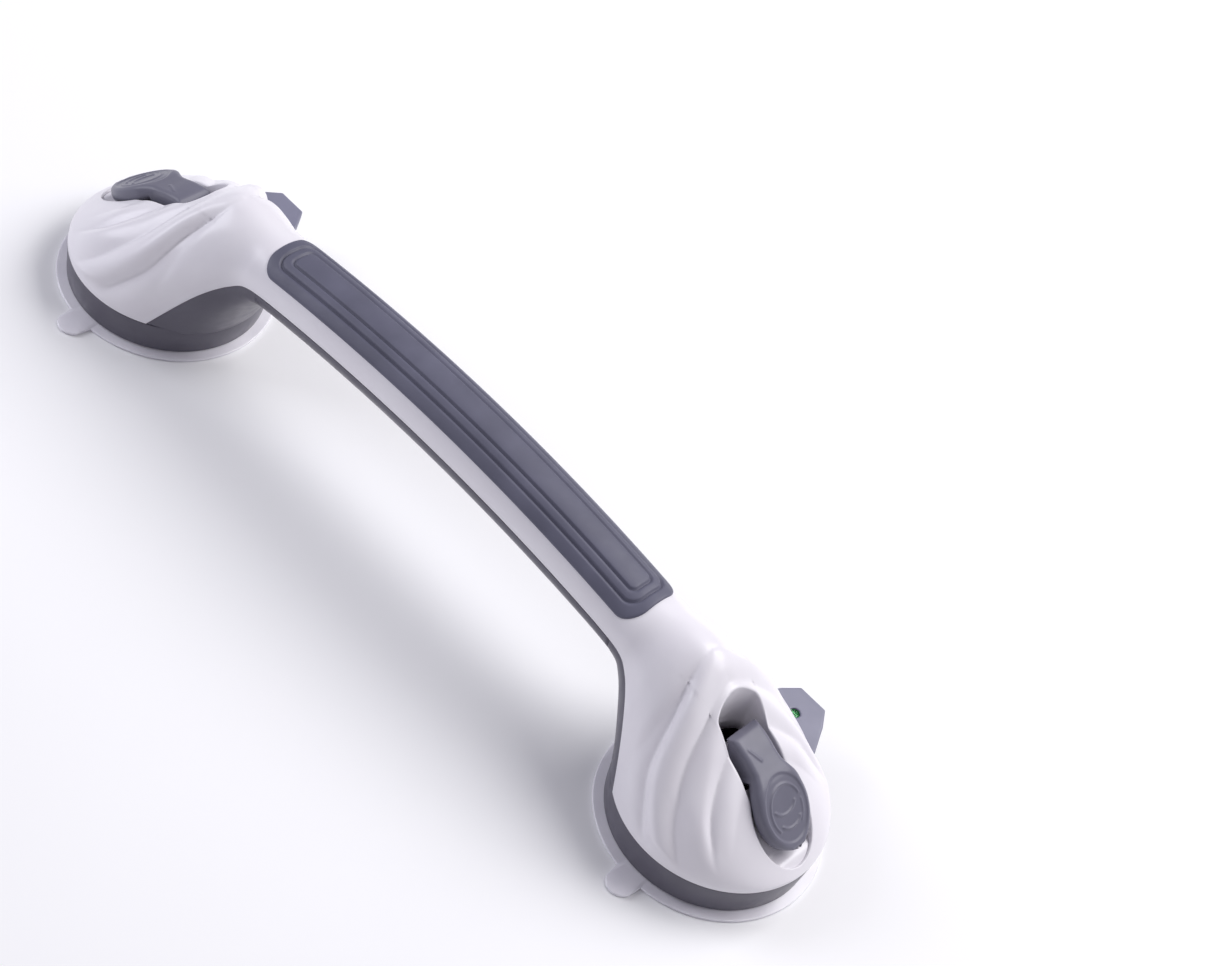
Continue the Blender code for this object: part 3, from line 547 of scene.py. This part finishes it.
def handle_under(shape, turns, recessed):
    half = np.concatenate([np.linspace(0, RECESS_END - 0.15, 30), [RECESS_END + 0.2],
                           np.linspace(94.5, COLUMN_X, 5)])
    lift = np.column_stack([np.zeros(len(turns)), -np.cos(turns), -np.sin(turns)])
    rows = []
    for x in np.concatenate([-half[:0:-1], half]):
        row = under_rows(x, turns)
        if abs(x) < RECESS_END:
            row = row - lift * np.where(recessed, RECESS_DEPTH, 0.0)[:, None]
        rows.append(tucked(row))
    shape.grid(rows)


def column(shape, side, turns):
    """From the handle's section down to an arc round the cup's inner side."""
    corner = math.acos(CORNER_OUT / RING_R) + 0.012
    start = under_rows(COLUMN_X, turns)
    k = turns / math.pi
    angle = -corner - 2 * (math.pi - corner) * k
    end_x, end_y = HEAD_X + COLUMN_R * np.cos(angle), COLUMN_R * np.sin(angle)
    close = (1 - ease(k, 0.0, 0.22)) + (1 - ease(1 - k, 0.0, 0.22))
    rows = []
    for share in np.linspace(0, 1, 56):
        flare, fall = float(ARCH_FLARE(share)), float(ARCH_FALL(share))
        x = start[:, 0] + (end_x - start[:, 0]) * share
        y = start[:, 1] + (end_y - start[:, 1]) * flare
        z = start[:, 2] + (COLUMN_FOOT - start[:, 2]) * fall
        out = x[0] - HEAD_X
        if out < CORNER_OUT:
            y = y + np.sign(y) * (float(half_width(out)) - 0.1 - abs(y[0])) * close
            z = z + (float(cover_edge(out)) - 0.15 - z[0]) * close
        rows.append(tucked(np.column_stack([side * x, y, z])))
    shape.grid(rows)


def make_lower_shell():
    shape = Shape()
    side_turn = math.acos(RECESS_HALF / HALF_WIDTH)
    flank = np.linspace(0, side_turn, 15)
    turns = np.concatenate([flank, np.linspace(side_turn + 0.02, math.pi - side_turn - 0.02, 25),
                            math.pi - flank[::-1]])
    recessed = (turns > side_turn + 0.01) & (turns < math.pi - side_turn - 0.01)
    handle_under(shape, turns, recessed)
    for side, _ in SIDES:
        column(shape, side, turns)
    shell = shape.piece("grey_shell", GREY, "grab_bar", ("lower_shell",),
                        weld=0.02, sharp=38.0, outward=(2, -1))
    thicken(shell, SHELL_WALL)


def turned(shape, profile, centre_x, segments=160):
    """A closed (radius, height) profile turned about the vertical line through centre_x."""
    angles = np.linspace(0, 2 * math.pi, segments, endpoint=False)
    rows = []
    for radius, height in list(profile) + [profile[0]]:
        rows.append(np.column_stack([centre_x + radius * np.cos(angles), radius * np.sin(angles),
                                     np.full(segments, height)]))
    shape.grid(rows, closed=True)


def make_rings():
    for side, label in SIDES:
        shape = Shape()
        profile = [(39.4, 1.9), (39.8, 1.5), (41.7, 1.5), (42.05, 1.62), (42.2, 1.95), (42.9, 8.9),
                   (43.5, 15.2), (43.45, 15.7), (43.15, 15.95), (42.6, 16.0), (41.2, 16.0), (40.9, 15.8),
                   (40.9, 13.2), (9.7, 13.2), (9.4, 12.9), (9.4, 11.3), (9.7, 11.0), (39.4, 11.0)]
        turned(shape, profile, side * HEAD_X)
        shape.piece(f"skirt_ring_{label}", GREY, "grab_bar", ("lower_shell",), sharp=35.0)


# ---------------------------------------------------------------- rubber

def rounded_loop(half_x, half_y, radius, count_x=60, count_y=10, count_c=10):
    """A closed rounded rectangle, with a fixed number of points along each part."""
    radius = min(radius, half_y)
    points = []
    for quarter, (sx, sy) in enumerate(((1, 1), (-1, 1), (-1, -1), (1, -1))):
        for k in range(count_c + 1):
            a = math.pi / 2 * (quarter + k / count_c)
            points.append((sx * (half_x - radius) + radius * math.cos(a),
                           sy * (half_y - radius) + radius * math.sin(a)))
        sides = count_x if quarter % 2 == 0 else count_y
        ax, ay = points[-1]
        nx = (-sx if quarter % 2 == 0 else sx) * (half_x - radius)
        ny = sy * half_y if quarter % 2 == 0 else -sy * (half_y - radius)
        bx, by = (nx, ay) if quarter % 2 == 0 else (ax, ny)
        points += [(ax + (bx - ax) * k / sides, ay + (by - ay) * k / sides) for k in range(1, sides)]
    return np.array(points)


def groove(rows, level, at, width, depth):
    """Adds to rows the (inset, level) points across one groove of this width and depth."""
    half = width / 2
    rows += [(at - half - 0.5, level), (at - half - 0.15, level - 0.04), (at - half + 0.15, level - 0.2),
             (at - 0.18, level - depth), (at + 0.18, level - depth), (at + half - 0.15, level - 0.2),
             (at + half + 0.15, level - 0.04), (at + half + 0.5, level)]


def make_grip_pad():
    size = smooth_curve([(0, 0), (4.7, 4.7), (9.0, 9.2), (14.1, 15.0)])
    rows = [(0.0, -1.0), (0.0, 0.0), (0.08, 0.35), (0.3, 0.58), (0.65, 0.72), (1.1, 0.78), (2.4, 0.8)]
    groove(rows, 0.8, 4.6, 1.6, 1.05)
    rows += [(6.6, 0.84)]
    groove(rows, 0.8, 8.5, 1.5, 0.95)
    rows += [(10.6, 0.8), (12.2, 0.8), (14.1, 0.8)]
    grid = []
    for inset, level in rows:
        half_y = 14.1 - inset
        radius = max(8.0 - 0.62 * inset, 0.0)
        loop = rounded_loop(106.0 - float(size(inset)), max(half_y, 1e-3), radius)
        out = np.abs(loop[:, 0]) - HEAD_X
        z = cover_z(out, loop[:, 1])
        lean = loop[:, 1] / HALF_WIDTH
        upright = np.sqrt(1 - np.clip(lean, -0.9, 0.9) ** 2)
        grid.append(np.column_stack([loop[:, 0], loop[:, 1] + level * lean, z + level * upright]))
    shape = Shape()
    shape.grid(grid, closed=True)
    shape.piece("rubber_grip", RUBBER, "grab_bar", ("grip_pad",), weld=0.01,
                sharp=70.0, outward=(2, 1))


def make_grip_strip():
    rows = [(0.0, -1.5), (0.0, -0.9), (0.12, -0.55), (0.4, -0.38), (0.9, -0.3), (2.5, -0.3)]
    groove(rows, -0.3, 4.0, 1.0, 0.5)
    rows += [(6.0, -0.3), (8.0, -0.3), (10.5, -0.3)]
    grid = []
    for inset, level in rows:
        loop = rounded_loop(92.0 - inset, max(10.5 - inset, 1e-3), max(4.0 - 0.5 * inset, 0.0))
        out = np.abs(loop[:, 0]) - HEAD_X
        lean = loop[:, 1] / HALF_WIDTH
        upright = np.sqrt(1 - lean ** 2)
        z = cover_edge(out) - SEAM - UNDER_DEPTH * upright
        grid.append(np.column_stack([loop[:, 0], loop[:, 1] + level * lean, z - level * upright]))
    shape = Shape()
    shape.grid(grid, closed=True)
    shape.piece("finger_strip", RUBBER, "grab_bar", ("grip_strip",), weld=0.01,
                sharp=70.0, outward=(2, -1))


# ---------------------------------------------------------------- lever

# A lever's own coordinates: a down the pad's slope from its middle, b across, n off the pad.
LEVER_TOP = smooth_curve([
    (-32.1, -10.4), (-31.7, -9.0), (-30.9, -7.8), (-29.4, -6.7), (-27.4, -5.7), (-24.2, -4.4),
    (-20.0, -3.1), (-16.5, -1.9), (-13.5, -0.8), (-11.0, -0.2), (-8.0, 0.0), (PAD_LONG, 0.0)])
PIN_A, PIN_N, CAM_R = -23.14, -12.14, 8.6
CAM_END, FORK_END = -14.7, -18.6
LIFT_DEG, CAM_TRAVEL, CAM_GAP = 78.0, 4.1, 0.05
PAD_UNDER = -7.5


def pad_half_width(a):
    oval = PAD_WIDE * np.sqrt(np.maximum(1 - (a / PAD_LONG) ** 2, 0.0))
    soft = 3.4 * (1 - ease(a, -11, -2)) * ease(a, -22, -14)
    blend = 0.5 * (8.0 + oval + np.sqrt((oval - 8.0) ** 2 + soft ** 2))
    return np.where(a < 0, blend, oval)


def lever_point(side, a, b, n):
    """From the lever's own coordinates to the shared frame."""
    c, s = math.cos(SLOPE), math.sin(SLOPE)
    return placed(side, np.stack([PAD_OUT + a * c + n * s, b, PAD_HIGH - a * s + n * c], axis=-1))


def ridge(distance, width):
    return np.exp(-(distance / width) ** 2)


def arc_distance(a, b, centre_a, centre_b, radius_a, radius_b, low, high):
    """Rough distance to part of an ellipse, given by its angles from the +a axis."""
    da, db = a - centre_a, b - centre_b
    angle = np.arctan2(db / radius_b, da / radius_a)
    r = np.hypot(da / radius_a, db / radius_b)
    off = np.abs(r - 1) * (radius_a + radius_b) / 2
    beyond = np.maximum(np.maximum(low - angle, angle - high), 0.0) * (radius_a + radius_b) / 2
    return np.hypot(off, beyond)


# Raised lines on the pad: centre a and b, radii along a and b, first and last angle, height, width.
PAD_LINES = [
    (0.6, 0.0, 9.9, 8.3, 1.9, math.pi, 0.42, 0.5), (0.6, 0.0, 9.9, 8.3, -math.pi, -0.9, 0.42, 0.5),
    (0.6, 0.0, 9.9, 8.3, 0.75, 1.6, 0.30, 0.45),
    (-3.0, -0.5, 5.0, 6.1, -1.13, 1.13, 0.50, 0.5), (4.0, 0.5, 4.0, 5.6, -1.1, 1.1, 0.50, 0.5)]
DASH_START, DASH_RUN = (-26.0, -4.5), (5.3, 2.6)     # a raised line on the neck, as (a, b)


def lever_relief(a, b):
    """Raised lines and the dished middle of the lever's top."""
    oval = np.hypot(a / PAD_LONG, b / PAD_WIDE)
    dish = -0.45 * ease((1 - oval) * 14.2, 2.3, 3.4)
    lines = sum(high * ridge(arc_distance(a, b, *arc), width) for *arc, high, width in PAD_LINES)
    da, db = a - DASH_START[0], b - DASH_START[1]
    run_a, run_b = DASH_RUN
    run = np.clip((da * run_a + db * run_b) / (run_a ** 2 + run_b ** 2), 0, 1)
    off = np.hypot(da - run_a * run, db - run_b * run)
    return dish + lines + 0.30 * ridge(off, 0.60)


def cam_low(a):
    """The cam's lower edge. At each lift its lowest point lies just short of the washer, which is
    then nearer to the pin by the stud's travel."""
    lifts = np.radians(np.linspace(0.0, LIFT_DEG, 14))
    reach = CAM_R - CAM_GAP - lifts * CAM_TRAVEL / math.radians(LIFT_DEG)
    drum = math.sqrt(max(CAM_R ** 2 - (a - PIN_A) ** 2, 0.0))
    worn = ((a - PIN_A) * np.sin(SLOPE - lifts) - reach) / np.cos(SLOPE - lifts)
    return max(PIN_N - drum, PIN_N + float(worn.max()))


def lever_under(a, wide, top, low):
    """The section's lower side as (b, n), with the fork's slot where the stud's eye stands."""
    slot = min(3.2, wide * 0.5)
    flank = np.linspace(wide * 0.93, slot + 0.03, 9)
    b = np.concatenate([flank, np.linspace(slot, -slot, 7), -flank[::-1]])
    rounding = (np.abs(b) / max(wide, 0.05)) ** 4
    n = np.full(len(b), low) + rounding * min(1.6, (top - low) * 0.3)
    if a < FORK_END:
        roof = (11.7 + math.sin(SLOPE) * a) / math.cos(SLOPE)
        n[len(flank):-len(flank)] = max(min(roof, top - 1.2), low)
    return list(zip(b, n))


def lever_section(a, beta):
    """A closed loop of (b, n) round the lever at a; beta spreads the upper side's points."""
    wide, top = float(pad_half_width(a)), float(LEVER_TOP(a))
    low = min(cam_low(a) if a < CAM_END else PAD_UNDER, top - 0.3)
    corner = min(2.6 + 0.4 * float(ease(a, -18, -10)), wide * 0.5, (top - low) / 2)
    b = beta * (wide - corner * 0.15)
    edge = np.clip(np.abs(b) - (wide - corner), 0.0, corner)
    fall = corner - np.sqrt(np.maximum(corner ** 2 - edge ** 2, 0.0))
    end_r = 2.2
    tip = min(max(a - (PAD_LONG - end_r), 0.0), end_r)
    fall = np.maximum(fall, end_r - math.sqrt(end_r ** 2 - tip ** 2)) * 0.85
    upper = top - fall + lever_relief(np.full(len(b), a), b)
    flank = [(wide, top - corner), (wide, top - corner - 0.3 * (top - low - corner)),
             (wide * 0.985, low + 0.35 * (top - low))]
    loop = list(zip(b, upper)) + flank + lever_under(a, wide, top, low)
    return np.array(loop + [(-x, y) for x, y in flank[::-1]])


def make_lever(side, label):
    stations = np.concatenate([-32.1 + 1.7 * (1 - np.cos(np.linspace(0, math.pi / 2, 8))),
                               np.linspace(-30.2, 6.3, 105),
                               PAD_LONG * np.sin(np.linspace(0.41, math.pi / 2, 50))])
    stations[-1] = PAD_LONG - 0.01
    beta = np.sin(np.linspace(-math.pi / 2, math.pi / 2, 75))
    beta = 0.55 * beta + 0.45 * np.linspace(-1, 1, len(beta))
    rows = []
    for a in stations:
        loop = lever_section(a, beta)
        rows.append(lever_point(side, np.full(len(loop), a), loop[:, 0], loop[:, 1]))
    shape = Shape()
    shape.grid(rows, closed=True)
    shape.fan(rows[0])
    shape.fan(rows[-1])
    shape.piece(f"flip_lever_{label}", LEVER, f"lever_{label}",
                (f"lever_{label}",), weld=0.003, sharp=55.0)


# ---------------------------------------------------------------- indicator tab

def make_tab(side, label):
    centre, window_y, top, low, edge = side * (HEAD_X - 6.2), 48.5, 23.3, 19.3, 0.8
    corners = [(14, 26), (14, 33.5), (17.6, 36.5), (17.6, 41), (11.4, 53.3), (6.6, 60.3)]
    outline = corners + [(-x, y) for x, y in corners[::-1]]
    points = []
    for (ax, ay), (bx, by) in zip(outline, outline[1:] + outline[:1]):
        steps = max(2, int(math.hypot(bx - ax, by - ay) / 0.5))
        points += [(ax + (bx - ax) * k / steps, ay + (by - ay) * k / steps) for k in range(steps)]
    points = np.array(points)
    points = (np.roll(points, 1, axis=0) + 2 * points + np.roll(points, -1, axis=0)) / 4
    angle = np.arctan2(points[:, 1] - window_y, points[:, 0])
    unit = np.column_stack([np.cos(angle), np.sin(angle)])
    levels = [(unit * radius + (0, window_y), z) for radius, z in (
        (2.2, low + 2.9), (2.2, top - 0.5), (2.3, top - 0.2), (2.5, top - 0.03), (2.8, top), (3.2, top))]
    insets = [(1.2, top)] + [(edge * (1 - math.sin(a)), top - edge * (1 - math.cos(a)))
                             for a in np.linspace(0, math.pi / 2, 5)]
    insets += [(0.0, low + 0.5), (0.15, low + 0.15), (0.5, low)]
    levels += [(points - unit * inset, z) for inset, z in insets]
    shape = Shape()
    shape.grid([np.column_stack([centre + p[:, 0], p[:, 1], np.full(len(p), z)]) for p, z in levels],
               closed=True)
    shape.piece(f"seal_tab_{label}", LILAC, "grab_bar", (f"indicator_tab_{label}",),
                sharp=50.0, outward=(2, 1))


# ---------------------------------------------------------------- suction cup

CUP_R = 46.4
CUP_TOP = [(CUP_R, 0.25), (CUP_R, 0.95), (46.2, 1.15), (45.9, 1.2), (38.6, 1.25), (37.2, 2.0), (35.6, 3.6),
           (34.0, 4.4), (27.0, 6.2), (13.0, 7.4), (10.2, 7.8), (9.0, 8.6), (9.0, 10.0), (8.8, 10.2),
           (7.0, 10.2), (6.8, 10.0), (6.8, 6.2), (0.02, 6.2)]
CUP_UNDER = [(0.02, 3.2), (14.0, 3.0), (22.0, 2.5), (29.0, 1.6), (34.0, 0.7), (38.0, 0.05), (46.1, 0.0),
             (CUP_R, 0.25)]
PEEL_Y, PEEL_R = -50.1, 6.3     # the peel tab's centre and radius


def peel_reach(angles):
    """How far the peel tab carries the cup's edge out, with its corners softened."""
    reach = np.zeros(len(angles))
    for i, a in enumerate(angles):
        towards = math.sin(a)
        gap = (towards * PEEL_Y) ** 2 - (PEEL_Y * PEEL_Y - PEEL_R ** 2)
        if towards < -0.9 and gap > 0:
            reach[i] = max(towards * PEEL_Y + math.sqrt(gap) - CUP_R, 0.0)
    return np.convolve(np.pad(reach, 3, mode="wrap"), np.full(7, 1 / 7), "valid")


def make_cup(side, label):
    beside = math.radians(14)
    angles = np.concatenate([np.linspace(-math.pi / 2 - beside, -math.pi / 2 + beside, 121),
                             np.linspace(-math.pi / 2 + beside, 1.5 * math.pi - beside, 221)[1:-1]])
    reach = peel_reach(angles)
    rows = []
    for radius, height in CUP_TOP + CUP_UNDER:
        r = radius + reach * ease(radius, 44.0, 45.8)
        rows.append(np.column_stack([side * HEAD_X + r * np.cos(angles), r * np.sin(angles),
                                     np.full(len(angles), height)]))
    shape = Shape()
    shape.grid(rows, closed=True)
    cup = shape.piece(f"vinyl_cup_{label}", VINYL, "grab_bar",
                      (f"suction_cup_{label}",), sharp=45.0)
    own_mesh(cup)


# ---------------------------------------------------------------- CAD nodes that stay

def dress(name, look):
    """Gives a CAD node its material; nothing else about it changes."""
    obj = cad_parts[name]
    obj.data.materials.clear()
    obj.data.materials.append(look)


def dress_nodes():
    for _, label in SIDES:
        for stem, look in (("pull_stud", STEEL), ("cam_pin", STEEL), ("return_spring", WIRE),
                           ("stud_guide", GREY), ("cam_washer", STEEL), ("indicator_slider", FLAG),
                           ("indicator_lens", CLEAR)):
            dress(f"{stem}_{label}", look)
        for stem, count in (("cover_screw", 3), ("guide_screw", 3), ("tab_screw", 2)):
            for number in range(1, count + 1):
                dress(f"{stem}_{label}_{number}", STEEL)


# ---------------------------------------------------------------- floor, light, camera

def make_floor():
    mesh = bpy.data.meshes.new("floor")
    size = 4.0
    mesh.from_pydata([(-size, -size, 0), (size, -size, 0), (size, size, 0), (-size, size, 0)], [],
                     [(0, 1, 2, 3)])
    floor = bpy.data.objects.new("floor", mesh)
    floor.location.z = -0.0002
    bpy.context.collection.objects.link(floor)
    mesh.materials.append(plastic("floor_paper", (0.93, 0.93, 0.935), (0.95, 0.95, 0.955), 0.7,
                                  cloud=3.0, grain=300.0, bump=0.0, specular=0.1))


def area_light(name, place, size, power, colour, target=(0.0, 0.0, 0.04)):
    data = bpy.data.lights.new(name, "AREA")
    data.shape = "RECTANGLE"
    data.size, data.size_y = size
    data.energy = power
    data.color = colour
    lamp = bpy.data.objects.new(name, data)
    bpy.context.collection.objects.link(lamp)
    lamp.location = place
    away = Vector(place) - Vector(target)
    lamp.rotation_euler = away.to_track_quat("Z", "Y").to_euler()


def make_light():
    world = bpy.data.worlds.new("studio")
    bpy.context.scene.world = world
    world.use_nodes = True
    back = world.node_tree.nodes["Background"]
    back.inputs["Color"].default_value = (0.90, 0.88, 1.0, 1.0)
    back.inputs["Strength"].default_value = 0.30
    area_light("key", (0.45, 0.85, 1.15), (1.3, 1.0), 22.0, (1.0, 0.99, 1.0))
    area_light("left", (-1.15, -0.55, 0.75), (0.7, 0.9), 9.0, (0.92, 0.93, 1.0), (-0.1, 0.0, 0.04))


def make_camera():
    """The photograph's viewing angle: where the camera stands, what it looks at, and its roll."""
    data = bpy.data.cameras.new("camera")
    data.sensor_width = 36.0
    data.lens = 75.39
    data.clip_start, data.clip_end = 0.05, 20.0
    camera = bpy.data.objects.new("camera", data)
    bpy.context.collection.objects.link(camera)
    place, aim = Vector((0.357979, -0.581943, 0.777984)), Vector((0.04026, 0.05417, 0.04))
    turn = (place - aim).to_track_quat("Z", "Y").to_matrix().to_4x4()
    roll = Matrix.Rotation(math.radians(23.75), 4, "Z")
    camera.matrix_world = Matrix.Translation(place) @ turn @ roll
    bpy.context.scene.camera = camera


make_camera()
make_cover()
make_lower_shell()
make_rings()
make_grip_pad()
make_grip_strip()
for head_side, head_label in SIDES:
    make_lever(head_side, head_label)
    make_tab(head_side, head_label)
    make_cup(head_side, head_label)
dress_nodes()
make_floor()
make_light()
bpy.context.scene.view_settings.view_transform = "Standard"

bpy.context.view_layer.update()
